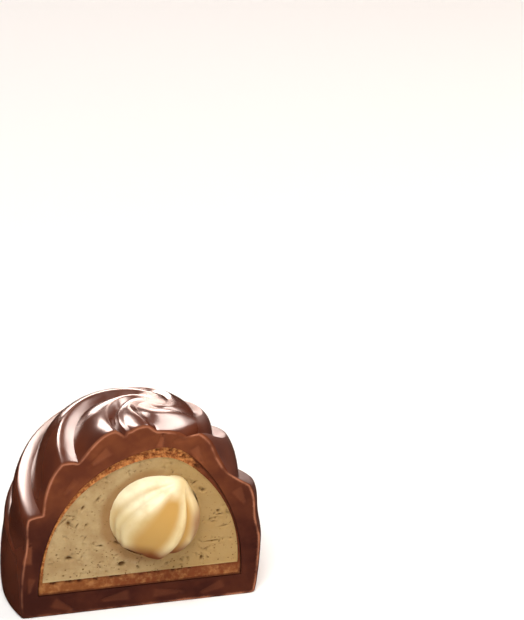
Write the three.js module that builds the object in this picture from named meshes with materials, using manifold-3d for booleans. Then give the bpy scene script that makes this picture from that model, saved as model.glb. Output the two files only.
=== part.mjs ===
// A filled chocolate praline: a domed chocolate shell with a swirl of five flutes, a thin
// baked wafer layer inside it, a cream filling and one whole hazelnut. The front of the
// dome is cut away, so every layer shows at the cut face, and the nut stands out of it.
// Millimetres, +Z up. The cut face looks along -Y, and the base stands on Z = 0.

import * as THREE from 'three';
import Module from 'manifold-3d';

// ---- Driving dimensions ---------------------------------------------------------------

// A dome's outline: its radius narrows by cos(height angle)^side and its height grows by
// sin(height angle)^crown, where the height angle runs from 0 at the rim to 90 at the top.
const OUTER = { radius: 15.94, floor: 0, top: 25.6, side: 0.7, crown: 1.236, belly: 0.083 };
const CUT_BEFORE_AXIS = 5.8;      // the knife passed this far in front of the dome's axis
const FOOT_ROUND = 0.45;          // rounding of the shell's bottom edge

// The hollow for the filling has an axis of its own, nearer the cut, and its top leans to
// the right in front. Behind its axis it is a little deeper than it is wide.
const CAVITY = { radius: 13.45, floor: 3.0, top: 23.3, side: 1.2, crown: 0.944, belly: 0 };
const CAVITY_BEHIND_CUT = 3.55;
const CAVITY_LEAN = { by: 2.76, power: 6.6 };
const CAVITY_DEPTH = 1.08;
const LAYER_GAP = 0.28;
const WAFER_THICKNESS = { wall: 0.5, floor: 1.72, top: 1.37 };

// The swirl: five flutes that wind up to a centre a little beside the dome's axis.
const FLUTES = 5;
const SWIRL_CENTRE = { x: 1.7, y: 0 };
const FLUTE_RELIEF = 1.41;        // from the sharp crease up to the crest
const CREST_PLACE = 0.83;         // share of a flute's width at which its crest lies, or
const STEEP = { width: 1.6, most: 0.45 };   // nearer its middle where its steep side needs room
const RISE_POWER = 1.27;
const FALL_POWER = 1.35;
const TWIST = [[20, 276], [42, 182], [82, 46], [86, 23], [90, -59]];  // height angle, turn
const TWIST_SOFTENING = [-3, -1.5, 0, 1.5, 3];
const FOOT_LEANS = [11, 14, 35, 27, 7];   // degrees that each crease leans near the foot
const MIDDLE_LEANS = [-9, 2, 22, 17, 7];  // half way up
const TOP_LEANS = [1, 16, 4, -1, 9];      // and near the top
const LEAN_SPAN = { from: 40, to: 84, middle: 60, spread: 12 };
const BEND = { crease: 3, at: 75, by: 19, spread: 4 };      // one crease dips to the cut
const SQUEEZE = { at: 328, by: 12, lobes: 3, from: 25, over: 20 };  // narrower flutes here
const RELIEF_FADE = { foot: 22, over: 16, top: 62, topOver: 22, topLoss: 0.55, tipOver: 9 };
const CALM = { at: 10, spread: 65, share: 0.8, from: 70, over: 8 };  // smooth beside the centre

// How far the flutes' creases lie inside the plain dome: more at the back and on the right.
const SINK = { all: 0.8, back: 0.46, right: 0.45, left: -0.13 };

// The wall swells a little beside the cut on the right.
const BULGE = { out: 0.6, turn: 345, height: 32, turnSpread: 22, heightSpread: 14 };

// The hazelnut: a round kernel with a point, and furrows that run down from the point.
const NUT = { radius: 5.82, tip: 0.75, tipSpread: 13, flat: 0.95 };
const NUT_PLACE = { x: 1.45, behindCut: 1.0, z: 12.8 };
const NUT_AXIS = new THREE.Vector3(0.5, -0.29, 0.81);
const NUT_FURROWS = [             // direction round the axis, depth and half width
  { at: -9, depth: 0.62, width: 19 },
  { at: 37, depth: 0.5, width: 9 },
  { at: 96, depth: 0.25, width: 11 },
  { at: 144, depth: 0.3, width: 12 },
  { at: 208, depth: 0.2, width: 11 },
  { at: 297, depth: 0.28, width: 10 },
];
const NUT_GAP = 0.28;

// How finely the faces follow the shapes.
const RISE_STEPS = [0, 0.16, 0.32, 0.48, 0.64, 0.8, 0.92, 1];   // shares of the way to a crest
const FALL_STEPS = [0.4, 0.75];                                 // and on to the next crease
const HEIGHT_STEPS = 38;
const DOME_COLUMNS = 44;
const DOME_ROWS = 14;
const NUT_COLUMNS = 40;
const NUT_ROWS = 19;

// ---- Small helpers ----------------------------------------------------------------------

const radians = THREE.MathUtils.degToRad;

/** Smooth step from 0 to 1 while t runs from 0 to 1. */
function ease(t) {
  const clamped = THREE.MathUtils.clamp(t, 0, 1);
  return clamped * clamped * (3 - 2 * clamped);
}

/** Value at x on the straight lines through [x, y] knots, held level past the ends. */
function alongKnots(knots, x) {
  if (x <= knots[0][0]) return knots[0][1];
  for (let i = 1; i < knots.length; i += 1) {
    const [x0, y0] = knots[i - 1];
    const [x1, y1] = knots[i];
    if (x <= x1) return y0 + ((y1 - y0) * (x - x0)) / (x1 - x0);
  }
  return knots[knots.length - 1][1];
}

/** Bell curve, 1 where the distance is 0. */
function bell(distance, width) {
  return Math.exp(-((distance / width) ** 2));
}

/** Signed angle in degrees from b to a, between -180 and 180. */
function angleBetween(a, b) {
  return THREE.MathUtils.euclideanModulo(a - b + 180, 360) - 180;
}

/** Radius and height of a dome's outline at a height angle in degrees. */
function outline(dome, heightAngle) {
  const angle = radians(THREE.MathUtils.clamp(heightAngle, 0, 90));
  const narrowing = Math.max(Math.cos(angle), 0) ** dome.side;
  const radius = dome.radius * narrowing * (1 + dome.belly * Math.sin(2 * angle));
  const height = dome.floor + (dome.top - dome.floor) * Math.sin(angle) ** dome.crown;
  return { radius, height };
}

/** Outward direction of a dome's outline, as its radial and vertical parts. */
function outlineNormal(dome, heightAngle) {
  const step = 0.06;
  const below = outline(dome, Math.max(heightAngle - step, 0));
  const above = outline(dome, Math.min(heightAngle + step, 90));
  const out = new THREE.Vector2(above.height - below.height, below.radius - above.radius);
  return out.normalize();
}

/** Height angle at which a dome is as wide as radius, above its belly. */
function heightAngleAt(dome, radius) {
  let low = 10;
  let high = 90;
  for (let i = 0; i < 26; i += 1) {
    const middle = (low + high) / 2;
    if (outline(dome, middle).radius > radius) low = middle;
    else high = middle;
  }
  return (low + high) / 2;
}

// ---- Solids from rows of points ----------------------------------------------------------

/** Closed solid from rings of points, listed from the bottom up, with a pole at each end. */
function solidFromRings(bottom, rings, top) {
  const columns = rings[0].length;
  const points = [bottom, ...rings.flat(), top];
  const last = points.length - 1;
  const at = (row, column) => 1 + row * columns + (column % columns);
  const faces = [];
  for (let c = 0; c < columns; c += 1) {
    faces.push(0, at(0, c + 1), at(0, c));
    for (let r = 0; r + 1 < rings.length; r += 1) {
      faces.push(at(r, c), at(r, c + 1), at(r + 1, c + 1));
      faces.push(at(r, c), at(r + 1, c + 1), at(r + 1, c));
    }
    faces.push(last, at(rings.length - 1, c), at(rings.length - 1, c + 1));
  }
  const vertProperties = new Float32Array(points.flatMap((p) => [p.x, p.y, p.z]));
  const triVerts = new Uint32Array(faces);
  return new wasm.Manifold(new wasm.Mesh({ numProp: 3, vertProperties, triVerts }));
}

/** Plain dome about the hollow's axis, deeper at the back, its top leaning in front. */
function plainDome(dome) {
  const middle = (x, z) => new THREE.Vector3(x, CAVITY_BEHIND_CUT, z);
  const rings = [];
  for (let row = 0; row < DOME_ROWS; row += 1) {
    const { radius, height } = outline(dome, (88 * row) / (DOME_ROWS - 1));
    const lift = (height - dome.floor) / (dome.top - dome.floor);
    const fullLean = CAVITY_LEAN.by * lift ** CAVITY_LEAN.power;
    rings.push(Array.from({ length: DOME_COLUMNS }, (_, column) => {
      const turn = (2 * Math.PI * column) / DOME_COLUMNS;
      const lean = fullLean * ease((1 - Math.sin(turn)) / 2);
      const spoke = new THREE.Vector3(Math.cos(turn), Math.sin(turn), 0);
      if (spoke.y > 0) spoke.y *= CAVITY_DEPTH;
      return middle(lean, height).addScaledVector(spoke, radius);
    }));
  }
  return solidFromRings(middle(0, dome.floor), rings, middle(CAVITY_LEAN.by / 2, dome.top));
}

/** A dome that is smaller by the given wall, floor and top thicknesses. */
function inside(dome, wall, floor, top) {
  return { ...dome, radius: dome.radius - wall, floor: dome.floor + floor, top: dome.top - top };
}

// ---- The swirled outside ------------------------------------------------------------------

/** Direction of a crease, in degrees round the swirl, at a height angle. */
function creaseTurn(crease, heightAngle) {
  const { from, to, middle, spread } = LEAN_SPAN;
  const lift = THREE.MathUtils.clamp((heightAngle - from) / (to - from), 0, 1);
  const index = crease % FLUTES;
  let lean = TOP_LEANS[index] * lift + FOOT_LEANS[index] * (1 - lift);
  lean += MIDDLE_LEANS[index] * bell(heightAngle - middle, spread);
  if (index === BEND.crease) lean -= BEND.by * bell(heightAngle - BEND.at, BEND.spread);
  const twists = TWIST_SOFTENING.map((offset) => alongKnots(TWIST, heightAngle + offset));
  const twist = twists.reduce((sum, turn) => sum + turn, 0) / twists.length;
  return (360 * crease) / FLUTES + twist + lean;
}

/** Share of a flute's width at which its crest lies: its steep side keeps its own width. */
function crestPlace(heightAngle) {
  const width = ((2 * Math.PI) / FLUTES) * outline(OUTER, heightAngle).radius;
  return 1 - THREE.MathUtils.clamp(STEEP.width / width, 1 - CREST_PLACE, STEEP.most);
}

/** Relief across a flute, 0 at its creases and 1 at its crest, just before the next crease. */
function fluteShape(across, crest) {
  if (across < crest) return Math.sin((Math.PI / 2) * (across / crest)) ** RISE_POWER;
  return 1 - ((across - crest) / (1 - crest)) ** FALL_POWER;
}

/** Share of the full relief: none at the foot, less near the top and beside the centre. */
function reliefShare(heightAngle, turn) {
  const foot = ease((heightAngle - RELIEF_FADE.foot) / RELIEF_FADE.over);
  const crown = ease((heightAngle - RELIEF_FADE.top) / RELIEF_FADE.topOver);
  const tip = ease((90 - heightAngle) / RELIEF_FADE.tipOver);
  const calm = CALM.share * bell(angleBetween(turn, CALM.at), CALM.spread);
  const calmed = 1 - calm * ease((heightAngle - CALM.from) / CALM.over);
  return foot * (1 - RELIEF_FADE.topLoss * crown) * tip * calmed;
}

/** How deep the flutes' creases lie inside the plain dome. */
function sinkDepth(turn) {
  const east = Math.cos(radians(turn));
  const side = SINK.right * Math.max(east, 0) + SINK.left * Math.max(-east, 0);
  return SINK.all + SINK.back * Math.sin(radians(turn)) + side;
}

/** How far the wall swells at a direction and a height angle. */
function bulge(turn, heightAngle) {
  const beside = bell(angleBetween(turn, BULGE.turn), BULGE.turnSpread);
  return BULGE.out * beside * bell(heightAngle - BULGE.height, BULGE.heightSpread);
}

/** Point on the swirled outside: a flute, the place across it and a height angle. */
function swirlPoint(flute, across, heightAngle) {
  const start = creaseTurn(flute, heightAngle);
  const end = creaseTurn(flute + 1, heightAngle);
  const plainTurn = start + (end - start) * across;
  const offset = THREE.MathUtils.clamp(SQUEEZE.lobes * angleBetween(plainTurn, SQUEEZE.at), -180, 180);
  const squeeze = SQUEEZE.by * ease((heightAngle - SQUEEZE.from) / SQUEEZE.over);
  const turn = plainTurn - squeeze * Math.sin(radians(offset));

  const ring = outline(OUTER, heightAngle);
  const shift = ease(1 - ring.radius / OUTER.radius);
  const place = new THREE.Vector2(
    SWIRL_CENTRE.x * shift + ring.radius * Math.cos(radians(turn)),
    SWIRL_CENTRE.y * shift + ring.radius * Math.sin(radians(turn)),
  );
  const moved = heightAngle > SQUEEZE.from;
  const bodyAngle = moved ? heightAngleAt(OUTER, place.length()) : heightAngle;
  const body = outline(OUTER, bodyAngle);
  const out = outlineNormal(OUTER, bodyAngle);
  const relief = FLUTE_RELIEF * fluteShape(across, crestPlace(heightAngle)) - sinkDepth(turn);
  const direction = THREE.MathUtils.radToDeg(place.angle());
  const raised = relief * reliefShare(heightAngle, turn) + bulge(direction, bodyAngle);
  const radius = (moved ? place.length() : body.radius) + out.x * raised;
  place.setLength(radius);
  return new THREE.Vector3(place.x, place.y + CUT_BEFORE_AXIS, body.height + out.y * raised);
}

/** The whole swirled dome, before it is cut. */
function swirledDome() {
  const angles = [];
  for (let i = 0; i < HEIGHT_STEPS; i += 1) {
    angles.push(2 + 86.6 * (i / (HEIGHT_STEPS - 1)) ** 0.92);
  }
  const ringAt = (heightAngle) => {
    const ring = [];
    const crest = crestPlace(heightAngle);
    const steps = RISE_STEPS.map((share) => share * crest);
    FALL_STEPS.forEach((share) => steps.push(crest + (1 - crest) * share));
    for (let flute = 0; flute < FLUTES; flute += 1) {
      steps.forEach((across) => ring.push(swirlPoint(flute, across, heightAngle)));
    }
    return ring;
  };
  const rings = angles.map(ringAt);
  const foot = rings[0].map((p) => {
    const inward = new THREE.Vector2(p.x, p.y - CUT_BEFORE_AXIS);
    inward.setLength(inward.length() - FOOT_ROUND);
    return new THREE.Vector3(inward.x, inward.y + CUT_BEFORE_AXIS, 0);
  });
  const bottom = new THREE.Vector3(0, CUT_BEFORE_AXIS, 0);
  const away = Math.hypot(SWIRL_CENTRE.x, SWIRL_CENTRE.y);
  const top = outline(OUTER, heightAngleAt(OUTER, away)).height;
  const centre = new THREE.Vector3(SWIRL_CENTRE.x, SWIRL_CENTRE.y + CUT_BEFORE_AXIS, top);
  return solidFromRings(bottom, [foot, ...rings], centre);
}

// ---- The hazelnut -------------------------------------------------------------------------

/** Hazelnut kernel, larger by grow all round, as a solid in its own place. */
function hazelnutSolid(grow) {
  const axis = NUT_AXIS.clone().normalize();
  const side = new THREE.Vector3(0, -1, 0).addScaledVector(axis, axis.y).normalize();
  const other = new THREE.Vector3().crossVectors(axis, side);
  const place = new THREE.Vector3(NUT_PLACE.x, NUT_PLACE.behindCut, NUT_PLACE.z);
  const pointAt = (fromFoot, round) => {
    const fromTip = 180 - fromFoot;
    let furrow = 0;
    NUT_FURROWS.forEach(({ at, depth, width }) => {
      furrow += depth * Math.exp(-((angleBetween(round, at) / width) ** 2));
    });
    const furrowShare = Math.sin(radians(fromFoot)) * ease((178 - fromFoot) / 40);
    const tip = NUT.tip * Math.exp(-((fromTip / NUT.tipSpread) ** 2));
    const radius = NUT.radius + tip + grow - furrow * furrowShare * ease(fromFoot / 70);
    const spoke = side.clone().multiplyScalar(Math.cos(radians(round)));
    spoke.addScaledVector(other, Math.sin(radians(round)));
    const point = place.clone().addScaledVector(spoke, radius * Math.sin(radians(fromFoot)));
    return point.addScaledVector(axis, -radius * NUT.flat * Math.cos(radians(fromFoot)));
  };
  const rings = [];
  for (let row = 1; row < NUT_ROWS; row += 1) {
    const fromFoot = (180 * row) / NUT_ROWS;
    rings.push(Array.from({ length: NUT_COLUMNS }, (_, column) => (
      pointAt(fromFoot, (360 * column) / NUT_COLUMNS))));
  }
  return solidFromRings(pointAt(0, 0), rings, pointAt(180, 0));
}

// ---- Cutting and fitting ------------------------------------------------------------------

/** Box that fills all the space behind the cut. */
function spaceBehindCut() {
  const size = 4 * OUTER.radius;
  const box = new THREE.BoxGeometry(size, size, size).translate(0, size / 2, size / 4);
  const corners = box.getAttribute('position');
  const points = [];
  const merged = new Map();
  const indexOf = (i) => {
    const key = [corners.getX(i), corners.getY(i), corners.getZ(i)].join();
    if (!merged.has(key)) {
      merged.set(key, points.length / 3);
      points.push(corners.getX(i), corners.getY(i), corners.getZ(i));
    }
    return merged.get(key);
  };
  const triVerts = new Uint32Array(Array.from(box.getIndex().array, indexOf));
  const vertProperties = new Float32Array(points);
  return new wasm.Manifold(new wasm.Mesh({ numProp: 3, vertProperties, triVerts }));
}

/** Three.js geometry of a solid. */
function geometryOf(solid) {
  const { numProp, vertProperties, triVerts } = solid.getMesh();
  const positions = new Float32Array((vertProperties.length / numProp) * 3);
  for (let i = 0; i * numProp < vertProperties.length; i += 1) {
    positions.set(vertProperties.subarray(i * numProp, i * numProp + 3), i * 3);
  }
  const geometry = new THREE.BufferGeometry();
  geometry.setAttribute('position', new THREE.BufferAttribute(positions, 3));
  geometry.setIndex(new THREE.BufferAttribute(new Uint32Array(triVerts), 1));
  geometry.computeVertexNormals();
  return geometry;
}

/** Named mesh with a material of its own. */
function piece(name, solid, color, roughness) {
  const material = new THREE.MeshStandardMaterial({ color, roughness, metalness: 0 });
  const mesh = new THREE.Mesh(geometryOf(solid), material);
  mesh.name = name;
  return mesh;
}

const wasm = await Module();
wasm.setup();

const behindCut = spaceBehindCut();
const waferOutside = inside(CAVITY, LAYER_GAP, LAYER_GAP, LAYER_GAP);
const waferInside = inside(waferOutside, WAFER_THICKNESS.wall, WAFER_THICKNESS.floor, WAFER_THICKNESS.top);
const creamOutside = inside(waferInside, LAYER_GAP, LAYER_GAP, LAYER_GAP);

const shell = swirledDome().subtract(plainDome(CAVITY)).intersect(behindCut);
const wafer = plainDome(waferOutside).subtract(plainDome(waferInside)).intersect(behindCut);
const cream = plainDome(creamOutside).intersect(behindCut).subtract(hazelnutSolid(NUT_GAP));
const nut = hazelnutSolid(0);

const praline = new THREE.Group();
praline.add(
  piece('chocolate_shell', shell, 0x4a2115, 0.28),
  piece('wafer_layer', wafer, 0xb57a3e, 0.8),
  piece('cream_filling', cream, 0xb3a078, 0.75),
  piece('hazelnut', nut, 0xe6d3a1, 0.45),
);

// The origin is under the middle of the whole piece, on the surface that it stands on.
const bounds = new THREE.Box3().setFromObject(praline);
const middle = bounds.getCenter(new THREE.Vector3());
praline.children.forEach((mesh) => mesh.geometry.translate(-middle.x, -middle.y, -bounds.min.z));

export default praline;
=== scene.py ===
"""A filled chocolate praline, cut open: swirled shell, wafer layer, cream and hazelnut.

Every shape is worked out in millimetres in the praline's own place: X to the right along
the cut face, Y back from the cut face, Z up from the base. The seat then puts it where the
CAD nodes stand, in metres.
"""

import logging
import math
from collections.abc import Callable, Sequence
from dataclasses import dataclass, field, replace
from enum import Enum

import bmesh
import bpy
import numpy as np
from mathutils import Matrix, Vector, geometry, noise


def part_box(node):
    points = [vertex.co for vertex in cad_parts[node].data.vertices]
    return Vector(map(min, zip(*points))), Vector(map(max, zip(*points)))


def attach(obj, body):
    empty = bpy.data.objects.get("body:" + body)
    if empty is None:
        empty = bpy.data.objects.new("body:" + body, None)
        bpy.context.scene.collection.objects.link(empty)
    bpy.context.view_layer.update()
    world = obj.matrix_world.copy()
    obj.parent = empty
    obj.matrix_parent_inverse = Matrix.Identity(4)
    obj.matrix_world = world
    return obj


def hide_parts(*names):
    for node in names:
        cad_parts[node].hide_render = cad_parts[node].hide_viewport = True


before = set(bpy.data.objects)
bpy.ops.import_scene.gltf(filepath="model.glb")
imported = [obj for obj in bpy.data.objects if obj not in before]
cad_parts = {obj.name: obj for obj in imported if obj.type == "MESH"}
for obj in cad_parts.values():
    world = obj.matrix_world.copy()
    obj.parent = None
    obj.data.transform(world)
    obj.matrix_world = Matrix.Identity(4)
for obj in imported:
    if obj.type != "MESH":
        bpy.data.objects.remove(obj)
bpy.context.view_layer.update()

MM = 0.001
log = logging.getLogger("praline")

Array = np.ndarray
Relief = Callable[[Array, Array], Array]
Colour = tuple[float, float, float]
Place = tuple[float, float, float]
Socket = bpy.types.NodeSocket


class Layer(Enum):
    """The praline's pieces, by the name of the CAD node that each one replaces."""

    SHELL = "chocolate_shell"
    WAFER = "wafer_layer"
    CREAM = "cream_filling"
    NUT = "hazelnut"


class Slot(Enum):
    """The record's material slots."""

    SHELL = "chocolate"
    WAFER = "wafer"
    CREAM = "cream"
    NUT = "nut"


# ---- Arithmetic that several pieces share --------------------------------------------


def ease(t: Array | float) -> Array:
    """Smooth step from 0 to 1 while t runs from 0 to 1."""
    clamped = np.clip(t, 0.0, 1.0)
    return clamped * clamped * (3.0 - 2.0 * clamped)


def bell(distance: Array | float, width: float) -> Array:
    """Bell curve, 1 where the distance is 0."""
    return np.exp(-((np.asarray(distance) / width) ** 2))


def turn_between(a: Array | float, b: float) -> Array:
    """Signed angle in degrees from b to a, between -180 and 180."""
    return np.mod(np.asarray(a) - b + 180.0, 360.0) - 180.0


def noise_at(points: Array, scale: float, seed: float = 0.0) -> Array:
    """Smooth noise between about -1 and 1.

    Args:
        points: Places in millimetres, one row each.
        scale: Size of one bump in millimetres.
        seed: Moves the pattern, so that two uses differ.

    Returns:
        One value for each point.
    """
    shift = Vector((seed * 17.3, seed * 5.1, seed * 9.7))
    return np.array([noise.noise(Vector(p) / scale + shift) for p in points])


def distance_to_loop(points: Array, loop: Array) -> Array:
    """Least distance from each flat point to a closed loop of flat points."""
    start, end = loop, np.roll(loop, -1, axis=0)
    side = end - start
    length2 = np.maximum((side**2).sum(1), 1e-12)
    least = np.empty(len(points))
    for i in range(0, len(points), 2000):
        part = points[i : i + 2000, None, :]
        along = np.clip(((part - start) * side).sum(2) / length2, 0.0, 1.0)
        nearest = start + along[..., None] * side
        least[i : i + 2000] = np.sqrt(((part - nearest) ** 2).sum(2).min(1))
    return least


def inside_loop(points: Array, loop: Array) -> Array:
    """Which flat points lie inside a closed loop of flat points."""
    start, end = loop, np.roll(loop, -1, axis=0)
    inside = np.zeros(len(points), dtype=bool)
    rise = np.where(end[:, 1] == start[:, 1], 1e-12, end[:, 1] - start[:, 1])
    for i in range(0, len(points), 2000):
        x, z = points[i : i + 2000, 0:1], points[i : i + 2000, 1:2]
        spans = (start[:, 1] > z) != (end[:, 1] > z)
        crossing = start[:, 0] + (z - start[:, 1]) * (end[:, 0] - start[:, 0]) / rise
        inside[i : i + 2000] = (spans & (x < crossing)).sum(1) % 2 == 1
    return inside


def read_points(mesh: bpy.types.Mesh) -> Array:
    """All vertices of a mesh, one row each."""
    points = np.empty(len(mesh.vertices) * 3)
    mesh.vertices.foreach_get("co", points)
    return points.reshape(-1, 3)


def write_points(mesh: bpy.types.Mesh, points: Array) -> None:
    """Moves all vertices of a mesh."""
    mesh.vertices.foreach_set("co", points.ravel())
    mesh.update()


def write_shares(mesh: bpy.types.Mesh, **shares: Array) -> None:
    """Gives each vertex a share from 0 to 1 under each name, for the materials."""
    for name, values in shares.items():
        mesh.attributes.new(name, "FLOAT", "POINT").data.foreach_set("value", values)


# ---- Where the praline stands ----------------------------------------------------------


@dataclass(frozen=True)
class Seat:
    """Place of the praline's own origin in the shared frame, in metres."""

    axis_x: float
    cut_y: float
    floor_z: float

    @classmethod
    def from_frame(cls) -> "Seat":
        """Seat under the filling's axis, at the cut face and on the base."""
        shell_low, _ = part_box(Layer.SHELL.value)
        wafer_low, wafer_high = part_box(Layer.WAFER.value)
        return cls((wafer_low[0] + wafer_high[0]) / 2, shell_low[1], shell_low[2])

    def place(self, points: Array) -> Array:
        """Points in the shared frame, in metres, from points in millimetres."""
        return points * MM + np.array([self.axis_x, self.cut_y, self.floor_z])

    def local(self, points: Array) -> Array:
        """Points in the praline's own millimetres, from points in the shared frame."""
        return (points - np.array([self.axis_x, self.cut_y, self.floor_z])) / MM


@dataclass
class Patch:
    """Vertices in millimetres and the faces between them."""

    points: Array
    faces: list[tuple[int, ...]]
    finish: int = 0


def grid_patch(rows: Array, finish: int = 0) -> Patch:
    """Patch over rows of points that each close on themselves.

    Args:
        rows: Points as rows, columns, coordinates. The last row is one end of the patch.
        finish: Number of the material slot.

    Returns:
        The patch, with its last row drawn together in a single point.
    """
    count, columns = rows.shape[:2]
    faces: list[tuple[int, ...]] = []
    for r in range(count - 1):
        for c in range(columns):
            d = (c + 1) % columns
            faces.append((r * columns + c, r * columns + d, (r + 1) * columns + d, (r + 1) * columns + c))
    points = np.concatenate([rows.reshape(-1, 3), rows[-1].mean(0, keepdims=True)])
    last = len(points) - 1
    for c in range(columns):
        faces.append(((count - 1) * columns + c, (count - 1) * columns + (c + 1) % columns, last))
    return Patch(points, faces, finish)


def face_patch(
    rim: Array, holes: Sequence[Array], spacing: float, relief: Relief, seed: int, finish: int = 0
) -> Patch:
    """Flat cut face between loops, with even triangles and relief.

    Args:
        rim: Outer loop as x, z rows in millimetres.
        holes: Inner loops.
        spacing: Distance between the face's points.
        relief: Depth behind the cut plane at x, z.
        seed: Seed of the small scatter of the points.
        finish: Number of the material slot.

    Returns:
        The face, on the cut plane where it meets its loops.
    """
    low, high = rim.min(0), rim.max(0)
    xs = np.arange(low[0], high[0], spacing)
    zs = np.arange(low[1], high[1], spacing * 0.866)
    grid_x, grid_z = np.meshgrid(xs, zs)
    grid_x[1::2] += spacing / 2
    scatter = np.random.default_rng(seed).uniform(-0.18, 0.18, (2, *grid_x.shape)) * spacing
    grid = np.stack([grid_x + scatter[0], grid_z + scatter[1]], -1).reshape(-1, 2)
    keep = inside_loop(grid, rim)
    for hole in holes:
        keep &= ~inside_loop(grid, hole)
    grid = grid[keep]
    reach = np.min([distance_to_loop(grid, loop) for loop in (rim, *holes)], axis=0)
    grid, reach = grid[reach > spacing * 0.55], reach[reach > spacing * 0.55]

    loops = [rim, *holes]
    flat = np.concatenate([*loops, grid])
    edges: list[tuple[int, int]] = []
    start = 0
    for loop in loops:
        count = len(loop)
        edges += [(start + i, start + (i + 1) % count) for i in range(count)]
        start += count
    corners = [Vector((float(x), float(z))) for x, z in flat]
    points, _, triangles, *_ = geometry.delaunay_2d_cdt(corners, edges, [], 0, 1e-6)
    found = np.array([[p.x, p.y] for p in points])
    sides = np.array(triangles)
    middles = found[sides].mean(1)
    keep = inside_loop(middles, rim)
    for hole in holes:
        keep &= ~inside_loop(middles, hole)
    away = np.min([distance_to_loop(found, loop) for loop in loops], axis=0)
    depth = relief(found[:, 0], found[:, 1]) * ease(away / 0.22)
    depth[away < 1e-5] = 0.0
    solid = np.stack([found[:, 0], depth, found[:, 1]], -1)
    return Patch(solid, [tuple(int(i) for i in t) for t in sides[keep]], finish)


def deselect_all() -> None:
    """Leaves nothing selected, so that the next operator acts on its own piece alone."""
    if bpy.context.object and bpy.context.object.mode != "OBJECT":
        bpy.ops.object.mode_set(mode="OBJECT")
    bpy.ops.object.select_all(action="DESELECT")


def make_piece(name: str, patches: Sequence[Patch], seat: Seat, smooth_angle: float) -> bpy.types.Object:
    """One closed object from patches that share their edges.

    Args:
        name: Name of the piece.
        patches: The patches, in millimetres.
        seat: Where the praline stands.
        smooth_angle: Faces that meet at less than this many degrees are shaded smooth.

    Returns:
        The new object, at the origin, with its place in its mesh.
    """
    mesh = bpy.data.meshes.new(name)
    points = np.concatenate([p.points for p in patches])
    faces: list[tuple[int, ...]] = []
    finishes: list[int] = []
    start = 0
    for patch in patches:
        faces += [tuple(start + i for i in face) for face in patch.faces]
        finishes += [patch.finish] * len(patch.faces)
        start += len(patch.points)
    mesh.from_pydata(seat.place(points).tolist(), [], faces)
    mesh.polygons.foreach_set("material_index", finishes)
    piece = bpy.data.objects.new(name, mesh)
    bpy.context.collection.objects.link(piece)
    deselect_all()
    piece.select_set(True)
    bpy.context.view_layer.objects.active = piece
    bpy.ops.object.mode_set(mode="EDIT")
    bpy.ops.mesh.select_all(action="SELECT")
    bpy.ops.mesh.remove_doubles(threshold=2e-6)
    bpy.ops.mesh.dissolve_degenerate(threshold=1e-6)
    bpy.ops.mesh.normals_make_consistent(inside=False)
    bpy.ops.object.mode_set(mode="OBJECT")
    bpy.ops.object.shade_smooth_by_angle(angle=math.radians(smooth_angle))
    return piece


def register(piece: bpy.types.Object, layer: Layer) -> None:
    """Puts a piece in the place of its CAD node and reports it."""
    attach(piece, "root")
    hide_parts(layer.value)
    log.info("%s: %d faces", piece.name, len(piece.data.polygons))


# ---- Materials -----------------------------------------------------------------------------


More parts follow.
